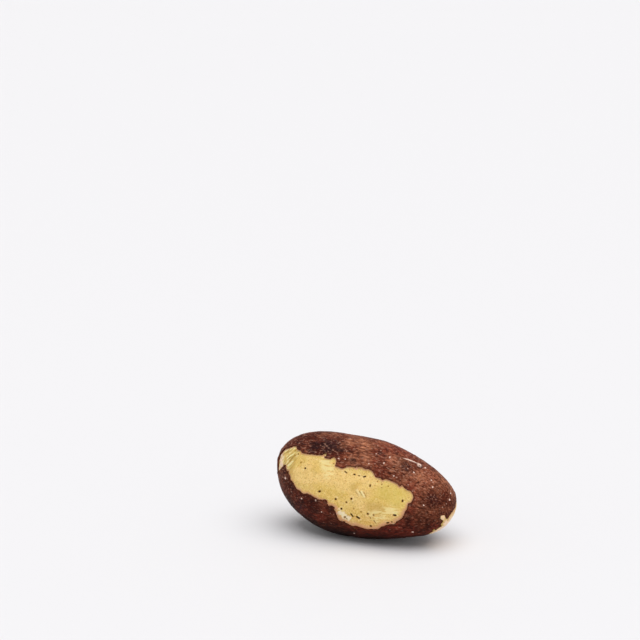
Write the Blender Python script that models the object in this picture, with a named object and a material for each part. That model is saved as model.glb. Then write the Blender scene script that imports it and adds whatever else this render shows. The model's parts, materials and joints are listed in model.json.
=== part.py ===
"""A shelled Brazil nut kernel lying on its flattest side, with brown skin still on most of it.

The nut grew as one piece, so it is one solid. Where the skin has flaked off, the paler flesh lies
one skin's thickness lower. Metres, +Z up. +X runs along the nut to its thinner end, -Y is the side
with the large bare patch, and the origin is on the floor below the middle of the nut's box.
"""

import math

import bmesh
import bpy
from mathutils import Matrix, Vector, noise

MM = 0.001

# Driving sizes of the nut, skin included
AXIS_LENGTH = 34.3 * MM
BREADTH = 17.6 * MM
HEIGHT = 18.5 * MM
SKIN = 0.25 * MM  # thickness of the brown skin

# Shape of the nut
BLUNTNESS = 2.5  # 2 is an ellipsoid's pointed end, and more is a fuller end
THIN_END = 0.12  # share of the girth lost towards +X, and gained towards -X
THREE_SIDED = 0.06  # how far the three long ridges stand out, as a share of the radius
RIDGE_ANGLE = math.radians(97)  # the top ridge, turned from +Y over +Z
SLANT = 0.365  # the ends are cut aslant: the top leans this far towards -X
LEAN = math.radians(2.3)  # lifts the thin end until the weight is over the flat spot
BOW = 0.3 * MM  # the ends bend this far towards -Y
FLAT_CUT = 0.35 * MM  # height of the cap that the flat spot takes off

# Waves of the surface: the height of each and the distance between crests
WAVES = ((0.16 * MM, 7.0 * MM), (0.06 * MM, 2.6 * MM))
WAVE_PLACE = Vector((3.1, 7.7, 1.9))

SPHERE_CUTS = 5  # fineness of the mesh
WELD = 0.001 * MM  # points closer than this are one

# Bare patches, where the skin has flaked off. Each is given by the way it faces, as degrees round
# from -Y towards +X and degrees up, and by its outline as seen square on, in mm to the right of the
# nut's middle and above it.
PATCH_MIDDLE = Vector((0, 0, HEIGHT / 2))
BARE_PATCHES = {
    "front_patch": (
        (0, 12),
        (
            (-16.9, 4.2), (-15.4, 5.0), (-14.3, 5.7), (-12.3, 5.8), (-11.0, 5.1), (-8.8, 5.0),
            (-6.8, 5.1), (-3.8, 4.6), (-3.2, 3.6), (-1.8, 3.3), (0.2, 3.8), (2.3, 3.7),
            (3.9, 3.5), (4.8, 2.6), (6.2, 2.3), (8.3, 1.9), (9.8, 1.2), (11.8, -0.1),
            (11.3, -2.0), (10.9, -3.6), (10.0, -5.0), (8.2, -6.1), (6.0, -7.0), (3.9, -7.5),
            (2.0, -7.4), (0.2, -7.2), (-1.3, -6.4), (-2.1, -5.2), (-4.1, -3.7), (-5.5, -3.2),
            (-7.3, -2.9), (-8.9, -2.4), (-10.3, -1.4), (-11.7, -0.7), (-12.8, 0.2),
            (-13.7, 1.3), (-15.4, 1.3), (-16.8, 1.9),
        ),
    ),
    "thick_end_patch": (
        (-70, 12),
        (
            (-7.6, -0.9), (-6.6, 0.6), (-5.0, 0.9), (-3.4, 1.6), (-1.6, 1.5), (-1.2, 0.4),
            (-1.4, -1.1), (-2.6, -1.9), (-3.8, -1.5), (-5.4, -2.1), (-6.9, -1.7),
        ),
    ),
    "thin_end_patch": (
        (80, -25),
        (
            (4.6, 6.6), (2.6, 6.6), (1.4, 5.9), (0.6, 5.0), (-0.2, 4.6), (-1.0, 4.9),
            (-1.6, 4.1), (-0.7, 3.1), (-0.4, 1.6), (-0.3, 0.3), (0.1, -0.8), (1.3, -1.2),
            (2.7, -0.6), (4.0, 0.6), (5.4, 1.0), (5.9, 2.8), (5.2, 4.1), (5.6, 5.4),
        ),
    ),
    "back_patch": (
        (180, 25),
        (
            (-7.5, 0.6), (-6.2, 2.0), (-4.6, 2.2), (-3.9, 3.2), (-1.8, 3.0), (-0.9, 3.8),
            (1.4, 3.4), (2.2, 2.6), (4.3, 2.9), (5.4, 1.8), (7.0, 1.5), (7.4, 0.3),
            (6.1, -0.7), (4.4, -0.4), (3.2, -1.5), (1.2, -1.2), (-0.4, -2.2), (-2.6, -1.6),
            (-3.8, -2.0), (-5.6, -0.9), (-6.9, -0.8),
        ),
    ),
    "low_back_chip": (
        (205, -10),
        ((6.8, -1.6), (8.2, -0.4), (9.9, -0.8), (10.8, -2.2), (9.4, -3.4), (7.9, -3.0)),
    ),
    "thin_end_chip": (
        (150, 5),
        ((-8.2, 1.2), (-7.0, 2.0), (-5.8, 1.5), (-5.9, 0.2), (-7.2, -0.5), (-8.3, 0.3)),
    ),
}
CUTTER_NEAR = 2 * MM  # where a patch's cutter starts and ends, measured from the nut's middle
CUTTER_FAR = 22 * MM

SKIN_COLOUR = (0.16, 0.045, 0.025, 1.0)
FLESH_COLOUR = (0.75, 0.51, 0.18, 1.0)
SKIN_ROUGHNESS = 0.5
FLESH_ROUGHNESS = 0.6
SMOOTH_UP_TO = math.radians(35)


def clear_scene():
    """Removes whatever the scene holds at the start."""
    for obj in list(bpy.data.objects):
        bpy.data.objects.remove(obj)


def new_collection(name):
    """A collection of that name, linked to the scene."""
    collection = bpy.data.collections.new(name)
    bpy.context.scene.collection.children.link(collection)
    return collection


def kernel_point(direction):
    """The point of the nut's skin that a point of the unit sphere moves to."""
    along = max(-1.0, min(1.0, direction.x))
    ring = math.hypot(direction.y, direction.z)
    turn = math.atan2(direction.z, direction.y)
    girth = math.sqrt(max(0.0, 1.0 - abs(along) ** BLUNTNESS))
    girth *= 1.0 - THIN_END * along
    girth *= 1.0 + THREE_SIDED * math.cos(3 * (turn - RIDGE_ANGLE))
    if ring < 1e-6:
        girth = 0.0
    across = BREADTH / 2 * girth * math.cos(turn) - BOW * along**2
    up = HEIGHT / 2 * girth * math.sin(turn)
    return Vector((AXIS_LENGTH / 2 * along - SLANT * up, across, up))


def waves_at(point):
    """Height of the shallow dents and swells at a point of the skin."""
    return sum(
        height * noise.noise(point / spacing + WAVE_PLACE) for height, spacing in WAVES
    )


def shape_nut():
    """The outer form of the nut, skin on all over, still without its flat spot."""
    bpy.ops.mesh.primitive_ico_sphere_add(subdivisions=SPHERE_CUTS, radius=1.0)
    nut = bpy.context.active_object
    nut.name = "kernel"
    for vertex in nut.data.vertices:
        vertex.co = kernel_point(vertex.co.normalized())
    nut.data.transform(Matrix.Rotation(-LEAN, 4, "Y"))
    nut.data.update()
    normals = [vertex.normal.copy() for vertex in nut.data.vertices]
    for vertex, normal in zip(nut.data.vertices, normals):
        vertex.co += normal * waves_at(vertex.co)
    return nut


def cut_flat_spot(nut):
    """Takes the lowest cap off, and sets the nut down on the flat face that this leaves."""
    lowest = min(vertex.co.z for vertex in nut.data.vertices)
    floor = lowest + FLAT_CUT
    work = bmesh.new()
    work.from_mesh(nut.data)
    cut = bmesh.ops.bisect_plane(
        work,
        geom=work.verts[:] + work.edges[:] + work.faces[:],
        plane_co=(0, 0, floor),
        plane_no=(0, 0, -1),
        clear_outer=True,
    )
    rim = [part for part in cut["geom_cut"] if isinstance(part, bmesh.types.BMEdge)]
    bmesh.ops.contextual_create(work, geom=rim)
    bmesh.ops.recalc_face_normals(work, faces=work.faces[:])
    work.to_mesh(nut.data)
    work.free()
    nut.data.transform(Matrix.Translation((0, 0, -floor)))
    nut.data.update()


def flesh_under(nut):
    """The flesh alone: the nut's form, one skin's thickness smaller all round."""
    flesh = bpy.data.objects.new("flesh", nut.data.copy())
    normals = [vertex.normal.copy() for vertex in flesh.data.vertices]
    for vertex, normal in zip(flesh.data.vertices, normals):
        vertex.co -= normal * SKIN
    return flesh


def patch_cutter(name, facing, outline):
    """A bar with a bare patch's outline, from inside the nut out through its skin."""
    curve = bpy.data.curves.new(name, "CURVE")
    curve.dimensions = "2D"
    curve.fill_mode = "BOTH"
    curve.extrude = (CUTTER_FAR - CUTTER_NEAR) / 2
    rim = curve.splines.new("POLY")
    rim.points.add(len(outline) - 1)
    for point, (right, up) in zip(rim.points, outline):
        point.co = (right * MM, up * MM, 0, 1)
    rim.use_cyclic_u = True
    drawn = bpy.data.objects.new(name, curve)
    bpy.context.scene.collection.objects.link(drawn)

    # A curve can't cut, so its mesh does, with its caps joined to its side
    graph = bpy.context.evaluated_depsgraph_get()
    mesh = bpy.data.meshes.new_from_object(drawn.evaluated_get(graph))
    bpy.data.objects.remove(drawn)
    work = bmesh.new()
    work.from_mesh(mesh)
    bmesh.ops.remove_doubles(work, verts=work.verts[:], dist=WELD)
    bmesh.ops.recalc_face_normals(work, faces=work.faces[:])
    work.to_mesh(mesh)
    work.free()

    turn, rise = (math.radians(angle) for angle in facing)
    aim = Matrix.Rotation(turn, 4, "Z") @ Matrix.Rotation(math.pi / 2 - rise, 4, "X")
    middle = Matrix.Translation((0, 0, (CUTTER_FAR + CUTTER_NEAR) / 2))
    cutter = bpy.data.objects.new(name, mesh)
    cutter.matrix_world = Matrix.Translation(PATCH_MIDDLE) @ aim @ middle
    return cutter


def keep_as_helper(obj, helpers):
    """Leaves an object in the file for the Booleans, out of the model itself."""
    helpers.objects.link(obj)
    obj.hide_render = True
    obj.display_type = "WIRE"


def new_material(name, colour, roughness):
    """A plain finish of one colour."""
    material = bpy.data.materials.new(name)
    material.use_nodes = True
    shader = material.node_tree.nodes["Principled BSDF"]
    shader.inputs["Base Color"].default_value = colour
    shader.inputs["Roughness"].default_value = roughness
    shader.inputs["Metallic"].default_value = 0.0
    return material


def bare_the_flesh(nut, flesh, cutters):
    """Cuts the bare patches through the skin, and fills the nut up again to its flesh."""
    cut = nut.modifiers.new("cut_patches", "BOOLEAN")
    cut.operation = "DIFFERENCE"
    cut.operand_type = "COLLECTION"
    cut.collection = cutters
    fill = nut.modifiers.new("fill_with_flesh", "BOOLEAN")
    fill.operation = "UNION"
    fill.object = flesh
    fill.material_mode = "TRANSFER"


def centre_on_box(holder, nut):
    """Moves the nut with its helpers until the origin lies under the middle of its box."""
    bpy.context.view_layer.update()
    graph = bpy.context.evaluated_depsgraph_get()
    corners = [Vector(corner) for corner in nut.evaluated_get(graph).bound_box]
    for axis in range(2):
        low = min(corner[axis] for corner in corners)
        high = max(corner[axis] for corner in corners)
        holder.location[axis] = -(low + high) / 2


def main():
    clear_scene()
    parts = new_collection("brazil_nut_kernel")
    cutters = new_collection("patch_cutters")
    forms = new_collection("inner_forms")

    nut = shape_nut()
    cut_flat_spot(nut)
    flesh = flesh_under(nut)
    for owner in nut.users_collection:
        owner.objects.unlink(nut)
    parts.objects.link(nut)
    nut.data.materials.append(new_material("brown_skin", SKIN_COLOUR, SKIN_ROUGHNESS))
    flesh.data.materials.append(new_material("ivory_flesh", FLESH_COLOUR, FLESH_ROUGHNESS))
    keep_as_helper(flesh, forms)
    for name, (facing, outline) in BARE_PATCHES.items():
        keep_as_helper(patch_cutter(name, facing, outline), cutters)
    bare_the_flesh(nut, flesh, cutters)
    nut.data.shade_smooth()
    nut.data.set_sharp_from_angle(angle=SMOOTH_UP_TO)

    holder = bpy.data.objects.new("nut_on_floor", None)
    parts.objects.link(holder)
    for obj in (nut, flesh, *cutters.objects):
        obj.parent = holder
    centre_on_box(holder, nut)


main()
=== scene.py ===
"""A shelled Brazil nut kernel on a pale floor, its brown skin torn open over the ivory flesh."""

import json
import math

import bmesh
import bpy
import numpy as np
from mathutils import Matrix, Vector, noise

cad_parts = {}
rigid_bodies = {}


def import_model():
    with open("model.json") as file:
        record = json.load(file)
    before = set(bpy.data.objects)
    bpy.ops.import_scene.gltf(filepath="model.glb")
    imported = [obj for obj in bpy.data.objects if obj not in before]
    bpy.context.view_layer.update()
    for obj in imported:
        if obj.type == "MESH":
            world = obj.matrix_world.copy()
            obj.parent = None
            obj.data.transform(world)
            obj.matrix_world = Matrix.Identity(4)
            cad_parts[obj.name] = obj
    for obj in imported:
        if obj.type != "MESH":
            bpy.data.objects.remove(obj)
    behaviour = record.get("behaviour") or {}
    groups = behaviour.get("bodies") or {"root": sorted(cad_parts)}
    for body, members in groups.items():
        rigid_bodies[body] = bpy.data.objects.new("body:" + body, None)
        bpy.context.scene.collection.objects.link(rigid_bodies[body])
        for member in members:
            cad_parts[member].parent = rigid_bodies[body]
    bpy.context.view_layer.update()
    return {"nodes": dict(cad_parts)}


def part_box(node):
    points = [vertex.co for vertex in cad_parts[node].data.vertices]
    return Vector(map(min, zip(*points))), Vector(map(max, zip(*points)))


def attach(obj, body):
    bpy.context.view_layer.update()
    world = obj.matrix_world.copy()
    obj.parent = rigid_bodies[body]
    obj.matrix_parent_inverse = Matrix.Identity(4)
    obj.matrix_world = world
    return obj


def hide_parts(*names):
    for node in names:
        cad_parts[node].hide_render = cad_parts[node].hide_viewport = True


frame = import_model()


# The grown form
# A kernel swells until it fills its shell, which leaves it plump, softly three-sided and smooth.
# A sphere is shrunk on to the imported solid, and the bare patches of the solid, which lie one
# skin's thickness lower, are lifted level. The flesh and the skin are both made from this form.
MM = 0.001  # in Blender's metres
SKIN_MM = 0.25
WELD_MM = 0.001  # points of the solid closer than this are one
SPHERE_CUTS = 7
STEP_ANGLE = math.radians(30)  # the steps round the bare patches are sharper than this
SMOOTHINGS = 30
SWELLING_MM = ((15.8, -3.4, 4.0), 6.0, 0.45)  # middle, reach and height of a low swelling


def pick(obj):
    """Selects one object alone."""
    bpy.ops.object.select_all(action="DESELECT")
    obj.select_set(True)
    bpy.context.view_layer.objects.active = obj


def read_mm(obj):
    """The mesh's points, in mm, and the way that it faces at each."""
    points = np.empty(len(obj.data.vertices) * 3, np.float32)
    normals = np.empty_like(points)
    obj.data.vertices.foreach_get("co", points)
    obj.data.vertex_normals.foreach_get("vector", normals)
    return points.reshape(-1, 3).astype(float) / MM, normals.reshape(-1, 3).astype(float)


def write_mm(obj, points):
    """Moves the mesh's points. Nothing sinks below the floor."""
    points = points.copy()
    points[:, 2] = np.maximum(points[:, 2], 0)
    obj.data.vertices.foreach_set("co", (points * MM).astype(np.float32).ravel())
    obj.data.update()


def apply_modifier(obj, kind, **settings):
    """Adds a modifier with its settings and applies it."""
    pick(obj)
    modifier = obj.modifiers.new(kind.lower(), kind)
    for name, value in settings.items():
        setattr(modifier, name, value)
    bpy.ops.object.modifier_apply(modifier=modifier.name)


def copy_of(obj, name):
    """A copy with its own mesh."""
    twin = obj.copy()
    twin.data = obj.data.copy()
    twin.name = name
    twin.data.name = name
    bpy.context.scene.collection.objects.link(twin)
    return twin


packed = copy_of(frame["nodes"]["kernel"], "packed_kernel")
packed.parent = None
work = bmesh.new()
work.from_mesh(packed.data)
bmesh.ops.remove_doubles(work, verts=work.verts[:], dist=WELD_MM * MM)
work.to_mesh(packed.data)
work.free()

low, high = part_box("kernel")
bpy.ops.object.select_all(action="DESELECT")
bpy.ops.mesh.primitive_ico_sphere_add(
    subdivisions=SPHERE_CUTS, radius=1, location=(low + high) / 2, scale=(high - low) / 2
)
form = bpy.context.active_object
bpy.ops.object.transform_apply(location=True, rotation=True, scale=True)
apply_modifier(
    form,
    "SHRINKWRAP",
    target=packed,
    wrap_method="PROJECT",
    use_negative_direction=True,
    use_positive_direction=True,
)

# The solid's bare patches are islands, cut off by their steps from the rest of its surface, which
# is all that can be reached from the flat spot.
pick(packed)
bpy.ops.object.mode_set(mode="EDIT")
bpy.ops.mesh.select_mode(type="EDGE")
bpy.ops.mesh.select_all(action="SELECT")
bpy.ops.mesh.mark_sharp(clear=True)
bpy.ops.mesh.select_all(action="DESELECT")
bpy.ops.mesh.edges_select_sharp(sharpness=STEP_ANGLE)
bpy.ops.mesh.mark_sharp()
bpy.ops.mesh.select_mode(type="FACE")
bpy.ops.mesh.select_all(action="DESELECT")
bpy.ops.object.mode_set(mode="OBJECT")
min(packed.data.polygons, key=lambda face: face.center.z).select = True
bpy.ops.object.mode_set(mode="EDIT")
bpy.ops.mesh.select_linked(delimit={"SHARP"})
bpy.ops.object.mode_set(mode="OBJECT")

points, normals = read_mm(form)
lift = np.zeros(len(points))
for number, normal in enumerate(normals):
    _, _, facing, face = packed.closest_point_on_mesh(form.data.vertices[number].co)
    if not packed.data.polygons[face].select:
        lift[number] = SKIN_MM * max(0, facing.dot(normal))
bpy.data.objects.remove(packed)

# Under the thin end the kernel swells a little past the solid's outline.
centre, reach, rise = SWELLING_MM
near = np.linalg.norm(points - np.array(centre), axis=1) / reach
lift += rise * np.clip(1 - near**2, 0, 1) ** 2
write_mm(form, points + normals * lift[:, None])
apply_modifier(form, "SMOOTH", factor=0.5, iterations=SMOOTHINGS)


# The flesh
# Ivory, oily and a little waxy, of one fine-grained mass right through. It shows where dry skin
# has flaked off along ragged lines, and is peppered with small dark pits and scuffed white where
# it was rubbed.
FLESH_DROP_MM = 0.22  # below the skin's upper side, so that the skin's underside lies in the flesh
NUT_MIDDLE = np.array((0, 0, 9.25))  # in mm
PATCH_STARTS_MM = 2  # a patch is only on the side of the nut that it faces
FAR_MM = 99.0  # out of every mark's reach
LEAST_FACING = 0.35  # surface that faces a patch's way less than this counts as facing it so

# Each bare patch: the way it faces, as degrees round from -Y towards +X and degrees up, and its
# outline seen square on, in mm to the right of the nut's middle and above it.
BARE_PATCHES = {
    "front": (
        (0, 12),
        (
            (-16.5, 2.8), (-16.5, 3.5), (-15.2, 4.9), (-13.0, 5.8), (-11.8, 5.8), (-12.1, 5.3),
            (-11.0, 5.2), (-10.8, 4.8), (-5.8, 5.0), (-5.8, 4.7), (-4.6, 4.6), (-4.3, 4.9),
            (-3.7, 5.0), (-3.1, 4.2), (-3.2, 3.4), (-1.8, 3.2), (-1.1, 3.6), (0.5, 3.8),
            (0.8, 3.5), (1.2, 3.8), (3.6, 3.6), (4.8, 2.6), (6.1, 2.1), (6.5, 2.4), (8.9, 1.7),
            (9.3, 1.3), (9.6, 1.6), (10.4, 1.0), (11.4, 0.7), (11.8, 0.3), (12.0, -0.3),
            (11.7, -1.4), (11.2, -1.6), (11.2, -2.4), (10.4, -4.3), (8.9, -5.7), (7.4, -6.1),
            (6.5, -6.6), (6.2, -7.0), (5.6, -7.2), (3.5, -7.5), (1.7, -7.1), (1.0, -7.3),
            (-1.7, -6.4), (-2.5, -4.4), (-2.3, -4.1), (-2.6, -3.9), (-3.1, -3.8), (-3.5, -4.0),
            (-4.1, -3.4), (-4.9, -3.0), (-5.6, -3.1), (-8.0, -2.4), (-9.1, -2.5), (-10.0, -2.0),
            (-10.6, -2.0), (-12.0, -0.6), (-12.4, -0.5), (-12.8, 0.4), (-13.2, 0.7), (-13.0, 1.1),
            (-13.5, 0.9), (-14.3, 1.9), (-15.2, 1.3), (-15.8, 0.3), (-16.6, 0.0),
        ),
    ),
    "thick_end": (
        (-70, 12),
        (
            (-7.6, -0.9), (-6.6, 0.6), (-5.0, 0.9), (-3.9, 1.5), (-3.3, 0.7), (-3.5, -0.6),
            (-3.2, -1.6), (-4.3, -1.5), (-5.4, -2.1), (-6.9, -1.7),
        ),
    ),
    "thin_end": (
        (80, -25),
        (
            (5.4, 6.8), (4.3, 6.5), (3.5, 6.1), (2.9, 5.6), (1.0, 5.2), (0.4, 4.4),
            (0.0, 4.4), (-0.4, 4.8), (-1.1, 4.6), (-0.7, 3.9), (-0.9, 3.4), (-0.5, 2.8),
            (-0.8, 2.6), (-1.5, 1.0), (-1.2, 0.2), (-0.3, -0.2), (0.1, -0.8), (1.3, -1.2),
            (2.7, -0.6), (4.0, 0.6), (5.4, 1.0), (5.9, 2.8), (5.2, 4.1), (5.6, 5.4),
        ),
    ),
    "back": (
        (180, 25),
        (
            (-7.5, 0.6), (-6.2, 2.0), (-4.6, 2.2), (-3.9, 3.2), (-1.8, 3.0), (-0.9, 3.8),
            (1.4, 3.4), (2.2, 2.6), (4.3, 2.9), (5.4, 1.8), (7.0, 1.5), (7.4, 0.3),
            (6.1, -0.7), (4.4, -0.4), (3.2, -1.5), (1.2, -1.2), (-0.4, -2.2), (-2.6, -1.6),
            (-3.8, -2.0), (-5.6, -0.9), (-6.9, -0.8),
        ),
    ),
    "low_back_chip": (
        (205, -10),
        ((6.8, -1.6), (8.2, -0.4), (9.9, -0.8), (10.8, -2.2), (9.4, -3.4), (7.9, -3.0)),
    ),
    "thin_end_chip": (
        (150, 5),
        ((-8.2, 1.2), (-7.0, 2.0), (-5.8, 1.5), (-5.9, 0.2), (-7.2, -0.5), (-8.3, 0.3)),
    ),
}

# The torn line is a patch's outline, roughened with small teeth, each with its depth and spacing,
# and with chips beside it. The outlines of the back and the ends are plainer, so they wobble too.
ROUGH_WITHIN_MM = 2.5  # of the outline
TEETH_MM = ((0.14, 1.1), (0.1, 0.5), (0.06, 0.25))
WOBBLE_MM = (0.45, 2.1)
WOBBLE_STARTS_MM = (-3.0, 1.0)  # it grows between these places along Y
CHIP_SPACING_MM = 1.1
CHIP_STEEPNESS_MM = 1.4
# For chips of skin that are lost, and for those that are kept: the strength of noise that they
# start at, how far from the line they reach in mm, and how fast they die out past that.
LOST_CHIPS, KEPT_CHIPS = (0.5, 0.4, 1.2), (0.58, 0.3, 1.6)


def facing_axes(turn, rise):
    """The directions that point right, up and out of a patch that faces that way."""
    turn, rise = math.radians(turn), math.radians(rise)
    out = np.array(
        (math.sin(turn) * math.cos(rise), -math.cos(turn) * math.cos(rise), math.sin(rise))
    )
    right = np.array((math.cos(turn), math.sin(turn), 0))
    return right, np.cross(out, right), out


def depth_inside(spots, outline):
    """How deep flat points lie inside a closed outline, or less than zero outside it."""
    start = np.array(outline)
    span = np.roll(start, -1, axis=0) - start
    reach = spots[:, None] - start
    share = np.clip((reach * span).sum(2) / (span**2).sum(1), 0, 1)
    gap = np.linalg.norm(reach - share[..., None] * span, axis=2).min(1)
    ends = start + span
    rows = spots[:, 1:]
    straddles = (start[:, 1] > rows) != (ends[:, 1] > rows)
    with np.errstate(divide="ignore", invalid="ignore"):
        crossing = start[:, 0] + (rows - start[:, 1]) * span[:, 0] / span[:, 1]
    inside = (straddles & (spots[:, :1] < crossing)).sum(1) % 2 == 1
    return np.where(inside, gap, -gap)


def patch_depth(points, normals):
    """How far inside the nearest bare patch each point of the surface is, in mm along it."""
    deepest = np.full(len(points), -FAR_MM)
    for (turn, rise), outline in BARE_PATCHES.values():
        right, up, out = facing_axes(turn, rise)
        seen = points - NUT_MIDDLE
        depth = depth_inside(np.stack((seen @ right, seen @ up), axis=1), outline)
        depth = depth / np.clip(normals @ out, LEAST_FACING, 1)
        depth[seen @ out < PATCH_STARTS_MM] = -FAR_MM
        deepest = np.maximum(deepest, depth)
    return deepest


def noise_at(points, spacing, offset=0.0):
    """Noise from about -1 to 1 at points in mm. Spacing is one number, or one for each axis.

    The offset moves the noise, so that no two patterns match.
    """
    places = points / np.array(spacing) + offset
    return np.array([noise.noise(place) for place in places.tolist()])


def chip_depth(strength, from_line, start, reach, fade):
    """How far inside a chip each point is, in mm, or less than zero outside all chips."""
    return (strength - start) * CHIP_STEEPNESS_MM - np.maximum(from_line - reach, 0) * fade


def torn_depth(points, normals):
    """How far inside the bare flesh each point is, in mm, or less than zero under skin."""
    depth = patch_depth(points, normals)
    near = np.abs(depth) < ROUGH_WITHIN_MM
    close, edge = points[near], depth[near]
    for number, (size, spacing) in enumerate(TEETH_MM):
        edge = edge + size * noise_at(close, spacing, 5.3 * number)
    size, spacing = WOBBLE_MM
    edge += size * noise_at(close, spacing, 17.9) * np.interp(close[:, 1], WOBBLE_STARTS_MM, (0, 1))
    chips = noise_at(close, CHIP_SPACING_MM, 31.7)
    lost = chip_depth(chips, -edge, *LOST_CHIPS)
    kept = chip_depth(-chips, edge, *KEPT_CHIPS)
    depth[near] = np.where(edge < 0, np.maximum(edge, lost), np.minimum(edge, -kept))
    return depth


def refine_where(obj, wanted):
    """Splits every face in four that has all its points among the wanted ones."""
    pick(obj)
    bpy.ops.object.mode_set(mode="EDIT")
    bpy.ops.mesh.select_mode(type="FACE")
    bpy.ops.mesh.select_all(action="DESELECT")
    bpy.ops.object.mode_set(mode="OBJECT")
    corners = np.empty(len(obj.data.loops), np.int32)
    obj.data.loops.foreach_get("vertex_index", corners)
    picked = wanted[corners.reshape(-1, 3)].all(axis=1)
    obj.data.polygons.foreach_set("select", picked)
    bpy.ops.object.mode_set(mode="EDIT")
    bpy.ops.mesh.subdivide(number_cuts=1, ngon=False)
    bpy.ops.mesh.select_all(action="SELECT")
    bpy.ops.mesh.quads_convert_to_tris()
    bpy.ops.object.mode_set(mode="OBJECT")


def set_attribute(obj, name, values):
    """Writes one number for each point of the mesh."""
    layer = obj.data.attributes.new(name, "FLOAT", "POINT")
    layer.data.foreach_set("value", np.asarray(values, np.float32))


UNDER_EDGE_MM = 0.4  # the flesh is as fine as its bare patches this far under the skin's edge
flesh = copy_of(form, "flesh")
points, normals = read_mm(flesh)
refine_where(flesh, torn_depth(points, normals) > -UNDER_EDGE_MM)

# Marks on the front patch run between two spots, in mm right of the nut's middle and above it.
# A pit has its radius and its darkness as well, and a ridge its half width and its height. All
# other marks have their half width. The last three pits are shallow creases beside the blister,
# their darkness painted shade.
FRONT_PITS = (
    (-9.3, 2.2, -9.3, 2.2, 0.15, 1.0), (-11.6, 4.5, -11.6, 4.5, 0.11, 0.8),
    (-10.5, 3.1, -10.5, 3.1, 0.16, 0.4), (-5.7, -1.6, -5.5, -1.5, 0.15, 1.0),
    (-2.2, -2.5, -2.2, -2.5, 0.17, 1.0), (0.8, -2.1, 0.8, -2.0, 0.15, 0.8),
    (-0.1, -2.8, -0.1, -2.8, 0.14, 0.7), (-1.0, -4.2, -1.0, -4.1, 0.13, 1.0),
    (-3.7, 3.8, -3.7, 3.8, 0.11, 0.5), (0.9, -4.9, 1.2, -5.3, 0.12, 0.9),
    (-0.4, -5.7, -0.3, -5.6, 0.16, 0.5), (2.0, -5.3, 2.4, -5.5, 0.14, 1.0),
    (4.1, -4.4, 4.1, -4.4, 0.15, 1.0), (5.2, -4.5, 5.2, -4.5, 0.15, 0.6),
    (4.6, -5.1, 4.6, -5.1, 0.11, 0.5), (5.2, -5.5, 5.5, -6.0, 0.08, 0.4),
    (4.5, -6.7, 4.5, -6.8, 0.14, 0.9), (8.9, -4.0, 9.2, -4.0, 0.14, 1.0),
    (10.2, -1.1, 10.2, -1.3, 0.13, 0.8), (7.6, -5.7, 7.9, -5.6, 0.12, 0.8),
    (8.5, -5.4, 8.5, -5.4, 0.13, 0.7), (4.0, 0.9, 4.0, 0.7, 0.12, 0.8),
    (6.1, 1.3, 6.1, 1.3, 0.11, 0.5), (6.2, 0.7, 6.2, 0.7, 0.1, 0.4),
    (7.3, 1.1, 7.3, 1.1, 0.13, 0.35), (5.2, 1.7, 5.2, 1.7, 0.12, 0.35),
    (-1.2, 2.7, -0.8, 2.5, 0.1, 0.7), (0.6, 2.4, 0.8, 2.4, 0.11, 0.8),
    (1.5, 2.3, 1.7, 2.3, 0.1, 0.5), (2.5, 2.2, 2.8, 2.3, 0.11, 0.8),
    (2.8, -4.2, 2.8, -4.2, 0.13, 0.4), (1.4, -3.8, 1.4, -3.8, 0.16, 0.3),
    (0.0, -5.9, 0.0, -5.9, 0.11, 0.5), (2.2, -0.4, 2.8, -1.1, 0.09, 0.28),
    (3.0, -0.5, 3.6, -1.3, 0.09, 0.28), (1.5, -0.7, 2.1, -1.3, 0.09, 0.2),
)
BLISTER_RIDGES = ((1.7, -0.3, 2.3, -0.9, 0.32, 0.09), (2.6, -0.5, 3.3, -1.3, 0.32, 0.12))
# Painted shade, olive-tinted, in hollows and beside the blister
PAINTED_SHADES = ((1.0, 0.1, 1.0, 0.1, 1.1), (4.6, -3.0, 6.2, -3.3, 1.5), (-12.3, 3.6, -12.6, 0.6, 0.9))
POWDERY_SCUFF = (-1.3, -4.9, 0.1, -5.7, 0.95)
PALE_STREAKS = ((5.6, -4.6, 8.6, -3.4, 1.5), (-5.6, 3.9, -4.2, 2.0, 1.5))
GREENISH = (7.0, 0.2, 9.4, -0.8, 2.6)
RUBBED_END = (-14.3, 2.6, -13.6, 4.4, 2.3)
PEELED_RIM = (-16.0, 3.3, -15.6, 0.8, 1.3)

# Round marks have their middle in mm in the nut's own frame, and their radius.
PINK_TIP = (15.4, -4.6, 3.4, 6.5)
FLUSH_TIP = (16.3, -2.6, 5.0, 7.0)  # where so little has torn off that the flesh is nearly flush
SPECK = (-10.2, -7.7, 10.5, 0.5)  # a raised speck of torn flesh
TIP_LUMP = (16.6, -3.7, 6.4, 0.6)  # another, on the thin end

# The pits on the other patches are scattered.
SCATTERED_PITS = 34
PIT_LENGTH_MM = 0.3
PIT_RADII_MM = (0.05, 0.12)
PIT_DARKNESS = (0.2, 0.9)
PIT_REACH = 1.6  # a pit fades out over the last radius of this many
HALO_AT, HALO_WIDTH = 3, 1.8  # the pale ring round a pit, in its radii
RAGGED = 0.25  # how far a pit's outline strays, in its radii

# Heights and spacings of the relief. The waves have their noise's offset as well.
FLESH_WAVES_MM = ((0.03, 2.4, 8.8), (0.012, 0.7, 2.2))
PIT_DEPTH_MM = 0.13
HALO_RISE_MM = 0.02
SCUFF_RISE_MM = 0.07
SPECK_RISE_MM = 0.15
SCRAPE_RISE_MM = 0.08
SCRAPE_SPACING_MM = (0.34, 0.8, 1.3)
SCRAPED_ASLANT = np.array(((0.7, 0, 0.7), (0, 1, 0), (-0.7, 0, 0.7)))  # half way between X and Z
FLUSH_SHARE = 0.85  # how much of its drop the flush flesh is spared
RIM_HEIGHTS_MM, RIM_WIDTHS_MM = (4, 10), (1.3, 0.45)  # the pink rim is broader lower down


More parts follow.
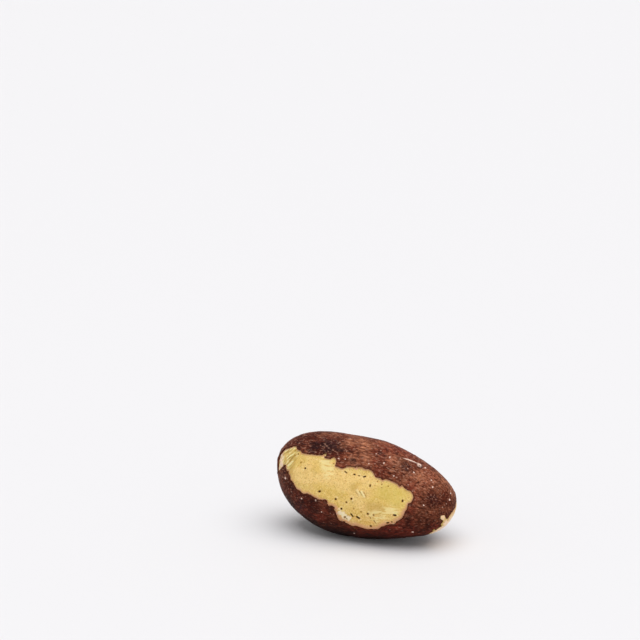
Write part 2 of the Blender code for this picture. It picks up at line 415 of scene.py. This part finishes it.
def along_stroke(spots, stroke):
    """1 on the line between two spots, falling to 0 at the stroke's half width from it."""
    start, span = np.array(stroke[:2]), np.array(stroke[2:4]) - np.array(stroke[:2])
    share = np.clip((spots - start) @ span / max(span @ span, 1e-9), 0, 1)
    gap = np.linalg.norm(spots - start - share[:, None] * span, axis=1)
    return np.clip(1 - gap / stroke[4], 0, 1)


def round_marks(points, places):
    """1 in the middle of the nearest of some round places, falling to 0 at their radii."""
    mark = np.zeros(len(points))
    for *centre, radius in places:
        gap = np.linalg.norm(points - np.array(centre), axis=1)
        mark = np.maximum(mark, np.clip(1 - gap / radius, 0, 1))
    return mark


points, normals = read_mm(flesh)
bare = torn_depth(points, normals)
right, up, out = facing_axes(*BARE_PATCHES["front"][0])
seen = points - NUT_MIDDLE
spots = np.stack((seen @ right, seen @ up), axis=1)
on_front = seen @ out > PATCH_STARTS_MM

grain = noise_at(points, 0.32, 3.1)
draw = np.random.default_rng(7)
inner = np.flatnonzero((bare > UNDER_EDGE_MM) & ~on_front)
dents = []
for spot in draw.choice(inner, SCATTERED_PITS):
    centre, drift = points[spot], draw.normal(size=3)
    drift *= draw.uniform(0, PIT_LENGTH_MM) / np.linalg.norm(drift)
    share = np.clip((points - centre) @ drift / (drift @ drift), 0, 1)
    gap = np.linalg.norm(points - centre - share[:, None] * drift, axis=1)
    dents.append((gap, draw.uniform(*PIT_RADII_MM), draw.uniform(*PIT_DARKNESS)))
for *stroke, radius, darkness in FRONT_PITS:
    gap = 10 * (1 - along_stroke(spots, (*stroke, 10)))
    dents.append((np.where(on_front, gap, FAR_MM), radius, darkness))
pit = np.zeros(len(points))
halo = np.zeros(len(points))
for gap, radius, darkness in dents:
    reach = gap / radius + RAGGED * grain  # in radii
    pit = np.maximum(pit, darkness * np.clip(PIT_REACH - reach, 0, 1))
    ring = np.clip(1 - np.abs(reach - HALO_AT) / HALO_WIDTH, 0, 1) * darkness
    halo = np.maximum(halo, ring * np.clip(0.2 + 1.8 * grain, 0, 1))

# The blister's ridges: raised, and cream with a painted highlight along them
blister_and_highlight = np.zeros(len(points))
rise = np.zeros(len(points))
for *stroke, height in BLISTER_RIDGES:
    ridge = np.sqrt(along_stroke(spots, stroke)) * on_front
    rise = np.maximum(rise, height * ridge)
    blister_and_highlight = np.maximum(blister_and_highlight, ridge * height / BLISTER_RIDGES[-1][-1])
strokes = noise_at(points @ SCRAPED_ASLANT, SCRAPE_SPACING_MM) + 0.45 * noise_at(points, 0.5, 7.7)

# The white scuff is powdery, and the thick end is scraped and peeled.
powder = along_stroke(spots, POWDERY_SCUFF) * on_front
powdered = powder * 1.5 + 0.6 * grain + 0.7 * strokes
scuff = np.clip(powdered, 0, 1) * np.clip(powder * 6, 0, 1)
rubbed = np.clip(along_stroke(spots, RUBBED_END) * 3, 0, 1) * on_front
peeled = along_stroke(spots, PEELED_RIM) * np.clip(0.75 + noise_at(points, 0.6, 4.2), 0, 1)
flush = np.clip(3 * round_marks(points, [FLUSH_TIP]), 0, 1)
speck = np.sqrt(round_marks(points, [SPECK, TIP_LUMP]))
height = (
    -FLESH_DROP_MM * (1 - FLUSH_SHARE * flush)
    + sum(size * noise_at(points, spacing, offset) for size, spacing, offset in FLESH_WAVES_MM)
    - PIT_DEPTH_MM * pit
    + HALO_RISE_MM * halo
    + SCUFF_RISE_MM * scuff
    + SPECK_RISE_MM * speck * (1 + 0.4 * noise_at(points, 0.35, 6.3))
    + rise
    + SCRAPE_RISE_MM * rubbed * strokes
)
write_mm(flesh, points + normals * height[:, None])
for name, values in (
    ("bare_mm", bare),
    ("rim", 1 - bare / np.interp(points[:, 2], RIM_HEIGHTS_MM, RIM_WIDTHS_MM)),
    ("pit", pit),
    ("halo", halo),
    ("scuff", scuff),
    ("pale", np.max([along_stroke(spots, stroke) for stroke in PALE_STREAKS], axis=0) * on_front),
    ("shade", np.max([along_stroke(spots, stroke) for stroke in PAINTED_SHADES], axis=0) * on_front),
    ("greenish", along_stroke(spots, GREENISH) * on_front),
    ("blister_and_highlight", blister_and_highlight),
    ("rubbed", rubbed),
    ("peeled", peeled * on_front),
    ("tip", round_marks(points, [PINK_TIP])),
    ("lump", np.sqrt(round_marks(points, [TIP_LUMP]))),
):
    set_attribute(flesh, name, values)
bpy.ops.object.shade_smooth()


def tone(code):
    """An sRGB hex colour as linear red, green, blue and alpha."""
    parts = [int(code[place : place + 2], 16) / 255 for place in (1, 3, 5)]
    return (*((c / 12.92 if c < 0.04045 else ((c + 0.055) / 1.055) ** 2.4) for c in parts), 1)


def add(tree, kind, inputs=(), **settings):
    """Adds a shader node with its settings, and links or fills its inputs."""
    node = tree.nodes.new("ShaderNode" + kind)
    for name, value in settings.items():
        setattr(node, name, value)
    for socket, value in dict(inputs).items():
        if isinstance(value, bpy.types.NodeSocket):
            tree.links.new(value, node.inputs[socket])
        else:
            node.inputs[socket].default_value = value
    return node


# Sockets, by number: a Mix node's for colours, then the two ends that a Map Range node reads its
# value between and the two that it spreads it to.
FACTOR, FIRST, SECOND, MIXED = 0, 6, 7, 2
FROM_LOW, FROM_HIGH, TO_LOW, TO_HIGH = 1, 2, 3, 4


def coat(tree, under, over, mark, low_end, high_end, shown=1.0, times=None, how="MIX"):
    """Lays a second colour over a first, more thickly as a mark goes from its low to its high end.

    It covers at most the share shown, and times is a second mark that thins it evenly.
    """
    ends = {"Value": mark, FROM_LOW: low_end, FROM_HIGH: high_end, TO_HIGH: shown}
    cover = add(tree, "MapRange", ends, interpolation_type="SMOOTHSTEP").outputs[0]
    if times:
        cover = add(tree, "Math", {0: cover, 1: times}, operation="MULTIPLY").outputs[0]
    colours = {FACTOR: cover, FIRST: under, SECOND: over}
    return add(tree, "Mix", colours, data_type="RGBA", blend_type=how).outputs[MIXED]


# Brazil nut flesh, broken clean from its skin: close-grained and oily, so it is a soft satin, and
# light goes a little way in. Fats are near IOR 1.46.
matter = bpy.data.materials.new("brazil_nut_flesh")
matter.use_nodes = True
tree = matter.node_tree
shader = tree.nodes["Principled BSDF"]
place = add(tree, "TexCoord").outputs["Object"]
above = add(tree, "SeparateXYZ", {"Vector": place}).outputs["Z"]
# Each pattern has its size in mm along the three axes. Real flesh is grained in less than 0.1 mm,
# too fine to show, so the fine grain and the streaks are drawn as coarse as they need to show.
patterns = {}
for name, size_mm, turn, detail in (
    ("clouds", (6.25, 3.03, 3.03), 0, 4),
    ("mottle", (1.1, 1.1, 1.1), 0, 5),
    ("fine", (0.24, 0.24, 0.24), 0, 4),
    ("streaks", (2.0, 0.667, 0.385), 0, 3),
    ("scrapes", (0.3, 0.6, 1.4), math.radians(45), 4),
):
    sized = add(
        tree,
        "Mapping",
        {"Vector": place, "Rotation": (0, turn, 0), "Scale": [size * MM for size in size_mm]},
        vector_type="TEXTURE",
    ).outputs[0]
    pattern = add(tree, "TexNoise", {"Vector": sized, "Scale": 1, "Detail": detail})
    patterns[name] = pattern.outputs["Fac"]
pores = add(tree, "TexVoronoi", {"Vector": place, "Scale": 1 / (0.9 * MM)})
marks = {
    name: add(tree, "Attribute", attribute_name=name).outputs["Fac"]
    for name in (
        "bare_mm", "rim", "pit", "halo", "scuff", "pale", "shade", "greenish", "blister_and_highlight", "rubbed",
        "peeled", "tip", "lump",
    )
}

# Clouds of two ivories, darker towards the floor as painted shade, with a mottled grain
colour = coat(tree, tone("#e3c068"), tone("#efcb80"), patterns["clouds"], 0.38, 0.62)
# Painted shade: the flesh deeper in colour towards the floor
colour = coat(tree, colour, tone("#deb25a"), above, 9 * MM, 3.5 * MM, 0.8)
for name, paler, darker in (("mottle", 0.2, 0.2), ("fine", 0.5, 0.6)):
    colour = coat(tree, colour, tone("#f7e0a4"), patterns[name], 0.53, 0.66, paler)
    colour = coat(tree, colour, tone("#bd9446"), patterns[name], 0.47, 0.34, darker)

# The front patch's marks: painted shade in its hollows and beside the blister, greener and paler
# flesh, scrapes and scuffs
colour = coat(tree, colour, tone("#c29c48"), marks["shade"], 0, 0.7, 0.5)
colour = coat(tree, colour, tone("#d6c05e"), marks["greenish"], 0, 0.8, 0.5)
streaky = add(
    tree,
    "MapRange",
    {"Value": patterns["streaks"], FROM_LOW: 0.42, FROM_HIGH: 0.55},
    interpolation_type="SMOOTHSTEP",
).outputs[0]
streaky = add(tree, "Math", {0: streaky, 1: marks["pale"]}, operation="MULTIPLY").outputs[0]
colour = coat(tree, colour, tone("#f4e2a2"), streaky, 0, 0.6, 0.7)
colour = coat(tree, colour, tone("#d2b468"), marks["rubbed"], 0, 1, 0.6)
for code, low_end, high_end, shown in (("#f4e6ae", 0.5, 0.62, 0.85), ("#a27e38", 0.47, 0.37, 0.8)):
    scrapes, rubbed_there = patterns["scrapes"], marks["rubbed"]
    colour = coat(tree, colour, tone(code), scrapes, low_end, high_end, shown, rubbed_there)
# The blister's ridges: cream flesh with a painted highlight along them
colour = coat(tree, colour, tone("#f4e6ae"), marks["blister_and_highlight"], 0.3, 0.9, 0.75)
colour = coat(tree, colour, tone("#f4d8c2"), marks["peeled"], 0, 0.65, 0.85)
colour = coat(tree, colour, tone("#f6e8c8"), marks["scuff"], 0.2, 0.9, 0.85)

# The pink rim beside the skin, and the thin end's pink flesh inside a yellow line
colour = coat(tree, colour, tone("#dda27c"), marks["rim"], 0, 0.85, 0.85)
grained_mm = add(
    tree, "Math", {0: patterns["fine"], 1: 2.0, 2: marks["bare_mm"]}, operation="MULTIPLY_ADD"
).outputs[0]
tip_tones = coat(tree, tone("#c9aa54"), tone("#f6dac6"), grained_mm, 1.15, 1.85)
colour = coat(tree, colour, tip_tones, marks["tip"], 0, 0.5, 0.85)
colour = coat(tree, colour, tone("#efcca4"), marks["lump"], 0.1, 0.6, 0.9)

# Brown pores, one in every fifth cell, then the pits, each in a pale ring and with a brown edge
chosen = add(tree, "Math", {0: pores.outputs["Color"], 1: 0.8}, operation="GREATER_THAN").outputs[0]
colour = coat(tree, colour, tone("#8a6230"), pores.outputs["Distance"], 0.08, 0.04, 1, chosen)
colour = coat(tree, colour, tone("#fae3b0"), marks["halo"], 0.1, 0.7, 0.55)
colour = coat(tree, colour, tone("#a06c14"), marks["pit"], 0, 0.35, 0.8)
colour = coat(tree, colour, tone("#341600"), marks["pit"], 0.2, 0.8)
tree.links.new(colour, shader.inputs["Base Color"])

gloss = {"Value": patterns["fine"], FROM_LOW: 0.3, FROM_HIGH: 0.7, TO_LOW: 0.42, TO_HIGH: 0.58}
roughness = add(tree, "MapRange", gloss, interpolation_type="SMOOTHSTEP").outputs[0]
tree.links.new(roughness, shader.inputs["Roughness"])
relief = add(
    tree,
    "Math",
    {0: patterns["fine"], 1: 0.5, 2: patterns["mottle"]},
    operation="MULTIPLY_ADD",
).outputs[0]
bump = add(tree, "Bump", {"Height": relief, "Strength": 0.6, "Distance": 0.05 * MM})
tree.links.new(bump.outputs[0], shader.inputs["Normal"])
shader.inputs["IOR"].default_value = 1.46
shader.inputs["Specular IOR Level"].default_value = 0.2  # only the oil in it shines
shader.inputs["Subsurface Weight"].default_value = 0.25
shader.inputs["Subsurface Radius"].default_value = (1.0, 0.6, 0.25)
shader.inputs["Subsurface Scale"].default_value = 0.4 * MM
flesh.data.materials.clear()
flesh.data.materials.append(matter)

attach(flesh, "root")
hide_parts("kernel")


# The skin
# A dry, papery seed coat a quarter of a millimetre thick, grown on to the flesh. It is ribbed
# along the nut by fine threads, and where it has torn, its edge lifts a little off the flesh.
EDGE_LIFT_MM = 0.1
EDGE_LIFT_REACH_MM = 0.7
FINE_WITHIN_MM = 0.45  # of the torn edge
SNAP = 0.15  # a cut this close to a point, as a share of the side it is on, goes through it

# Places on the skin, in mm in the nut's own frame: a fold on top of the thin end, then dark
# blotches, partly painted shade, and pale flecks, partly shell dust and partly painted glints,
# each with its radius. A blotch has its darkness as well.
FOLD_LINE = np.array(
    ((7.9, -2.6, 16.0), (9.0, -2.3, 15.8), (10.2, -1.9, 15.3), (11.6, -1.5, 14.7))
)
# The first three, wide on top of the thick end, are painted shade as well as dark skin.
BLOTCHES_AND_SHADE = (
    (-5.7, -4.2, 17.0, 4.0, 1.1), (-8.4, -4.6, 16.5, 3.0, 1.0), (-11.6, -3.4, 15.4, 3.8, 0.8),
    (-3.4, -4.4, 16.6, 2.1, 1.0), (-0.1, -5.9, 15.3, 1.1, 0.9), (9.2, -3.9, 14.8, 3.2, 0.7),
    (7.9, -3.0, 15.9, 1.1, 0.8), (-15.0, -1.0, 13.0, 2.2, 0.8), (-3.0, 5.0, 16.0, 2.6, 0.8),
    (9.0, 4.0, 14.0, 2.2, 0.8), (-13.0, 6.0, 7.0, 2.4, 0.8), (3.0, 8.0, 6.0, 2.0, 0.8),
    (-2.9, -9.1, 7.0, 1.0, 0.7), (11.5, -1.9, 14.6, 0.8, 0.9), (4.3, -3.5, 16.6, 0.8, 0.8),
    (15.0, -4.2, 9.6, 2.0, 0.6), (-9.8, -7.9, 6.1, 1.8, 0.7),
)
FLECKS_AND_GLINTS = (
    (-2.9, -6.0, 15.4, 0.24), (-1.6, -5.9, 15.4, 0.18), (6.2, -3.5, 16.1, 0.28),
    (5.6, -4.8, 15.3, 0.28), (3.0, -5.6, 15.1, 0.22), (4.1, -5.3, 15.2, 0.18),
    (3.6, -3.8, 16.5, 0.18), (7.9, -5.6, 13.5, 0.24), (11.0, -3.7, 14.0, 0.24),
    (-13.6, -6.4, 10.3, 0.36), (-9.3, -8.2, 7.5, 0.24), (-6.1, -8.9, 7.8, 0.26),
    (17.0, -0.8, 10.1, 0.24), (17.2, -1.8, 9.2, 0.26), (13.8, -5.6, 8.8, 0.22),
    (11.8, -5.8, 3.6, 0.3), (12.7, -5.0, 3.3, 0.24), (0.9, -7.3, 2.1, 0.24),
    (-4.9, -8.9, 5.8, 0.2), (11.3, -1.8, 14.9, 0.65), (12.2, -1.4, 14.3, 0.28),
)
# A hole at the fold's end, its darkness painted shade
FOLD_HOLE = (11.3, -1.9, 14.8, 0.22)
FLECK_SURROUND_MM = 0.25

# More flecks are scattered over the back.
SCATTERED_FLECKS = 40
BACK_STARTS_MM = -4  # along Y
FLECK_RADII_MM = (0.12, 0.3)

# Heights and spacings of the relief. The waves have their noise's offset as well.
SKIN_WAVES_MM = ((0.03, 1.5, 6.6), (0.014, 0.6, 9.1))
THREAD_RISE_MM = 0.022
THREAD_SPACING_MM = (4.5, 0.8, 0.8)
FOLD_RISE_MM = 0.18
FOLD_WIDTH_MM, FOLD_STRAY_MM = 0.24, 0.1
FLECK_RISE_MM = 0.1
HOLE_DEPTH_MM = 0.14

skin = copy_of(form, "skin")
points, normals = read_mm(skin)
flecks = [*FLECKS_AND_GLINTS]
draw = np.random.default_rng(11)
for spot in draw.choice(np.flatnonzero(points[:, 1] > BACK_STARTS_MM), SCATTERED_FLECKS):
    flecks.append((*points[spot], draw.uniform(*FLECK_RADII_MM)))
flecks = np.array(flecks)
near_edge = np.abs(torn_depth(points, normals)) < FINE_WITHIN_MM
near_fleck = round_marks(points, flecks + np.array((0, 0, 0, FLECK_SURROUND_MM))) > 0
refine_where(skin, near_edge | near_fleck)
points, normals = read_mm(skin)
bare = torn_depth(points, normals)

# The mesh is cut along the torn line, and what lies inside the line is taken off.
work = bmesh.new()
work.from_mesh(skin.data)
work.verts.ensure_lookup_table()
depth = work.verts.layers.float.new("bare_mm")
for vert, value in zip(work.verts, bare):
    vert[depth] = value
for edge in work.edges:
    ends = edge.verts
    if ends[0][depth] * ends[1][depth] < 0:
        share = ends[0][depth] / (ends[0][depth] - ends[1][depth])
        if share < SNAP:
            ends[0][depth] = 0
        elif share > 1 - SNAP:
            ends[1][depth] = 0
for edge in list(work.edges):
    ends = edge.verts
    if ends[0][depth] * ends[1][depth] < 0:
        share = ends[0][depth] / (ends[0][depth] - ends[1][depth])
        bmesh.utils.edge_split(edge, ends[0], share)[1][depth] = 0
for face in list(work.faces):
    level = [vert for vert in face.verts if vert[depth] == 0]
    signs = {vert[depth] > 0 for vert in face.verts if vert[depth] != 0}
    if len(level) == 2 and len(signs) == 2:
        bmesh.utils.face_split(face, *level)
flaked = [face for face in work.faces if sum(vert[depth] for vert in face.verts) > 0]
bmesh.ops.delete(work, geom=flaked, context="FACES")
bmesh.ops.triangulate(work, faces=work.faces[:])
for face in work.faces:
    face.select = False
min(work.faces, key=lambda face: face.calc_center_median().z).select = True
work.to_mesh(skin.data)
work.free()

# Scraps that hang on to nothing fall off.
pick(skin)
bpy.ops.object.mode_set(mode="EDIT")
bpy.ops.mesh.select_linked()
bpy.ops.mesh.select_all(action="INVERT")
bpy.ops.mesh.delete(type="FACE")
bpy.ops.object.mode_set(mode="OBJECT")

points, normals = read_mm(skin)
from_edge = np.empty(len(points), np.float32)
skin.data.attributes["bare_mm"].data.foreach_get("value", from_edge)
from_edge = -from_edge

# The torn edge lifts unevenly, and not at all where the flesh is flush with it.
curl = np.clip(1 - from_edge / EDGE_LIFT_REACH_MM, 0, 1) ** 2
curl *= 0.35 + 0.65 * np.clip(0.5 + noise_at(points, 1.3, 12.0), 0, 1)
curl *= 1 - np.clip(3 * round_marks(points, [FLUSH_TIP]), 0, 1)

# The fold's crest and the flecks are crumbly, and the crest dies away at both of its ends.
crumbling = noise_at(points, 0.26, 2.8) + 0.6 * noise_at(points, 0.12, 9.4)
from_fold = np.full(len(points), FAR_MM)
along = np.zeros(len(points))
for number in range(len(FOLD_LINE) - 1):
    start, span = FOLD_LINE[number], FOLD_LINE[number + 1] - FOLD_LINE[number]
    share = np.clip((points - start) @ span / (span @ span), 0, 1)
    gap = np.linalg.norm(points - start - share[:, None] * span, axis=1)
    along = np.where(gap < from_fold, (number + share) / (len(FOLD_LINE) - 1), along)
    from_fold = np.minimum(from_fold, gap)
crest = np.exp(-((from_fold / (FOLD_WIDTH_MM + FOLD_STRAY_MM * crumbling)) ** 2))
crest *= np.sin(np.pi * np.clip(along, 0.02, 0.98)) ** 0.5
fleck = round_marks(points, flecks) * np.clip(1 + 1.3 * crumbling, 0, 1)
hole = round_marks(points, [FOLD_HOLE])

height = (
    THREAD_RISE_MM * (1 - 2 * np.abs(noise_at(points, THREAD_SPACING_MM, 4.4)))
    + sum(size * noise_at(points, spacing, offset) for size, spacing, offset in SKIN_WAVES_MM)
    + EDGE_LIFT_MM * curl
    + FOLD_RISE_MM * crest
    + FLECK_RISE_MM * np.sqrt(fleck)
    - HOLE_DEPTH_MM * hole
)
write_mm(skin, points + normals * height[:, None])
blotched = [darkness * round_marks(points, [place]) for *place, darkness in BLOTCHES_AND_SHADE]
for name, values in (
    ("edge_mm", from_edge),
    ("blotch_and_shade", np.max(blotched, axis=0)),
    # pale: the fold's crest as a painted highlight, and the flecks, partly dust, partly painted
    # glints
    ("pale", np.maximum(0.8 * crest, np.sqrt(fleck))),
    ("hole", hole),
):
    set_attribute(skin, name, values)
apply_modifier(skin, "SOLIDIFY", thickness=SKIN_MM * MM, offset=-1, use_even_offset=False)
bpy.ops.object.shade_smooth_by_angle(angle=math.radians(50))
bpy.data.objects.remove(form)

# Brazil nut seed coat, dried on: dark red-brown and dusty, satin where it is whole, with paler
# threads along the nut and grains of the shell's dust. Its torn edge is a plainer, darker brown.
PALE_GRAIN = (1.8, 2.1, 2.2, 1)
DARK_GRAIN = (0.42, 0.32, 0.28, 1)
# Painted shade over the thick end
THICK_END_PAINTED_SHADE = (0.6, 0.5, 0.45, 1)
matter = bpy.data.materials.new("dry_seed_coat")
matter.use_nodes = True
tree = matter.node_tree
shader = tree.nodes["Principled BSDF"]
place = add(tree, "TexCoord").outputs["Object"]
axes = add(tree, "SeparateXYZ", {"Vector": place}).outputs
# Each pattern has its size in mm, and how far it is scaled along the nut: less than 1 draws it
# out. Real threads and dust are finer than 0.1 mm, so they too are as coarse as they need to show.
patterns = {}
for name, size_mm, drawn_out, finish in (
    ("clouds", 3.5, 1, {"Detail": 4}),
    ("reds", 6.5, 1, {"Detail": 2}),
    ("mottle", 0.42, 0.45, {"Detail": 3, "Roughness": 0.6}),
    ("threads", 0.38, 0.19, {"Detail": 4, "Roughness": 0.65, "Distortion": 0.6}),
    ("dust", 0.28, 0.45, {"Detail": 5, "Roughness": 0.65}),
):
    drawn = add(tree, "Mapping", {"Vector": place, "Scale": (drawn_out, 1, 1)}).outputs[0]
    finish.update({"Vector": drawn, "Scale": 1 / (size_mm * MM)})
    patterns[name] = add(tree, "TexNoise", finish).outputs["Fac"]
grains = add(tree, "TexVoronoi", {"Vector": place, "Scale": 1 / (0.9 * MM)})
marks = {
    name: add(tree, "Attribute", attribute_name=name).outputs["Fac"]
    for name in ("edge_mm", "blotch_and_shade", "pale", "hole")
}

# Darker below and at the thick end, both painted shade, with clouds, redder places and blotches
# Painted shade: a darker copy of the skin below and a lighter one on top
under = coat(tree, tone("#2c0a03"), tone("#4c1a0c"), patterns["clouds"], 0.35, 0.65)
over = coat(tree, tone("#5e2716"), tone("#92573d"), patterns["clouds"], 0.35, 0.65)
colour = coat(tree, under, over, axes["Z"], 3 * MM, 14.5 * MM)
colour = coat(tree, colour, tone("#6f2418"), patterns["reds"], 0.5, 0.65, 0.45)
colour = coat(tree, colour, THICK_END_PAINTED_SHADE, axes["X"], -3 * MM, -10 * MM, how="MULTIPLY")
# Blotches: dark skin, and on top of the thick end painted shade as well
blotchy = add(
    tree, "Math", {0: patterns["mottle"], 1: 3.0, 2: marks["blotch_and_shade"]}, operation="MULTIPLY_ADD"
).outputs[0]
colour = coat(tree, colour, tone("#1c0d11"), blotchy, 1.75, 2.4, 0.85)
for name, dark_at, light_at in (("threads", 0.38, 0.62), ("mottle", 0.36, 0.64)):
    colour = coat(tree, colour, PALE_GRAIN, patterns[name], 0.53, light_at, 0.8, how="MULTIPLY")
    colour = coat(tree, colour, DARK_GRAIN, patterns[name], 0.47, dark_at, 0.85, how="MULTIPLY")

# Dust and grains of shell, more of them higher up: real dust, spread upward as painted top light
dust_and_top_light, rising = [
    add(
        tree,
        "MapRange",
        {"Value": axes["Z"], FROM_LOW: 3 * MM, FROM_HIGH: top * MM, TO_LOW: least, TO_HIGH: most},
        interpolation_type="SMOOTHSTEP",
    ).outputs[0]
    for top, least, most in ((14, 0.15, 0.62), (12, 0.25, 0.7))
]
colour = coat(tree, colour, tone("#ab7d68"), patterns["dust"], 0.54, 0.63, 1, dust_and_top_light)
colour = coat(tree, colour, tone("#260c08"), patterns["dust"], 0.455, 0.35, 0.8)
chosen = add(tree, "Math", {0: grains.outputs["Color"], 1: 0.66}, operation="GREATER_THAN")
chosen = add(tree, "Math", {0: chosen.outputs[0], 1: rising}, operation="MULTIPLY").outputs[0]
colour = coat(tree, colour, tone("#c99c88"), grains.outputs["Distance"], 0.2, 0.08, 1, chosen)

# Painted shade nearly black by the floor, plain dark brown at the torn edge, pale on the fold and
# the flecks, the fold's crest as a painted highlight, and painted shade in the fold's hole
# Painted shade: the skin nearly black where it nears the floor
colour = coat(tree, colour, tone("#0c0302"), axes["Z"], 4 * MM, 1 * MM, 0.75)
colour = coat(tree, colour, tone("#4d2412"), marks["edge_mm"], 0.3, 0.05, 0.6)
# A painted highlight on the fold's crest; the flecks pale, partly dust and partly painted glints
colour = coat(tree, colour, tone("#f0d0bf"), marks["pale"], 0.3, 0.8, 0.95)
# Painted shade in the fold's hole
colour = coat(tree, colour, tone("#1c0a06"), marks["hole"], 0.2, 0.7)
tree.links.new(colour, shader.inputs["Base Color"])

gloss = {"Value": patterns["mottle"], FROM_LOW: 0.3, FROM_HIGH: 0.7, TO_LOW: 0.55, TO_HIGH: 0.7}
roughness = add(tree, "MapRange", gloss, interpolation_type="SMOOTHSTEP").outputs[0]
tree.links.new(roughness, shader.inputs["Roughness"])
relief = add(
    tree, "Math", {0: patterns["threads"], 1: patterns["mottle"]}, operation="ADD"
).outputs[0]
bump = add(tree, "Bump", {"Height": relief, "Strength": 0.8, "Distance": 0.09 * MM})
tree.links.new(bump.outputs[0], shader.inputs["Normal"])
shader.inputs["IOR"].default_value = 1.48
shader.inputs["Specular IOR Level"].default_value = 0.08  # dust dulls it
skin.data.materials.clear()
skin.data.materials.append(matter)

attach(skin, "root")
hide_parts("kernel")


# The floor
# A seamless white sheet of studio card, matt, lit until it is nearly burnt out. It is laid flat
# and reaches far past the picture's edges.
FLOOR_SIZE = 8  # metres
bpy.ops.object.select_all(action="DESELECT")
bpy.ops.mesh.primitive_plane_add(size=FLOOR_SIZE)
floor = bpy.context.active_object
floor.name = "floor"
matter = bpy.data.materials.new("white_card")
matter.use_nodes = True
shader = matter.node_tree.nodes["Principled BSDF"]
shader.inputs["Base Color"].default_value = tone("#e4e3e5")
shader.inputs["Roughness"].default_value = 0.8
floor.data.materials.append(matter)


# The light
# Soft daylight in a white room whose ceiling is dimmer than its walls, and one broad window
# overhead, a little to the right.
WALLS, CEILING = 0.85, 0.45
WALL_TOP, CEILING_START = 0.12, 0.45  # as the height of a direction on a ball of radius 1
WINDOW_FROM = (0.18, -0.02, 1.0)
WINDOW_WIDTH = math.radians(75)  # as seen from the nut
WINDOW_POWER = 2.3
world = bpy.data.worlds.new("white_room")
world.use_nodes = True
tree = world.node_tree
background = tree.nodes["Background"]
height = add(tree, "SeparateXYZ", {0: add(tree, "TexCoord").outputs["Generated"]}).outputs["Z"]
strength = add(
    tree,
    "MapRange",
    {
        "Value": height,
        FROM_LOW: WALL_TOP,
        FROM_HIGH: CEILING_START,
        TO_LOW: WALLS,
        TO_HIGH: CEILING,
    },
    interpolation_type="SMOOTHSTEP",
).outputs[0]
background.inputs["Color"].default_value = tone("#ffffff")
tree.links.new(strength, background.inputs["Strength"])
bpy.context.scene.world = world
window = bpy.data.lights.new("window", "SUN")
window.angle = WINDOW_WIDTH
window.energy = WINDOW_POWER
holder = bpy.data.objects.new("window", window)
holder.rotation_euler = Vector(WINDOW_FROM).to_track_quat("Z", "Y").to_euler()
bpy.context.scene.collection.objects.link(holder)
bpy.context.scene.view_settings.view_transform = "Standard"


# The camera
# It stands a little above the nut and to its right, looks higher than the nut, and so holds it
# low in the frame. Pixels are those of a picture 640 wide and high.
FRAME_PX = 640
FOCAL_PX = 1858
NUT_AT_PX = (366.7, 490.3)
AIM_HEIGHT = 8 * MM
CAMERA_TURN = math.radians(24.6)
CAMERA_RISE = math.radians(18)
CAMERA_DISTANCE = 345 * MM

to_camera = Vector(
    (
        math.sin(CAMERA_TURN) * math.cos(CAMERA_RISE),
        -math.cos(CAMERA_TURN) * math.cos(CAMERA_RISE),
        math.sin(CAMERA_RISE),
    )
)
right_of_middle = (NUT_AT_PX[0] - FRAME_PX / 2) / FOCAL_PX
above_middle = (FRAME_PX / 2 - NUT_AT_PX[1]) / FOCAL_PX
reach = math.hypot(1, right_of_middle, above_middle)
slope = math.hypot(1, above_middle)
pitch = math.asin(-to_camera.z * reach / slope) - math.atan(above_middle)
ahead = math.cos(pitch) - above_middle * math.sin(pitch)
heading = CAMERA_TURN + math.atan2(right_of_middle, ahead)
camera = bpy.data.cameras.new("camera")
camera.sensor_width = 36
camera.lens = camera.sensor_width * FOCAL_PX / FRAME_PX
camera.clip_start = 0.01
viewer = bpy.data.objects.new("camera", camera)
viewer.location = Vector((0, 0, AIM_HEIGHT)) + CAMERA_DISTANCE * to_camera
viewer.rotation_euler = (math.pi / 2 + pitch, 0, heading)
bpy.context.scene.collection.objects.link(viewer)
bpy.context.scene.camera = viewer
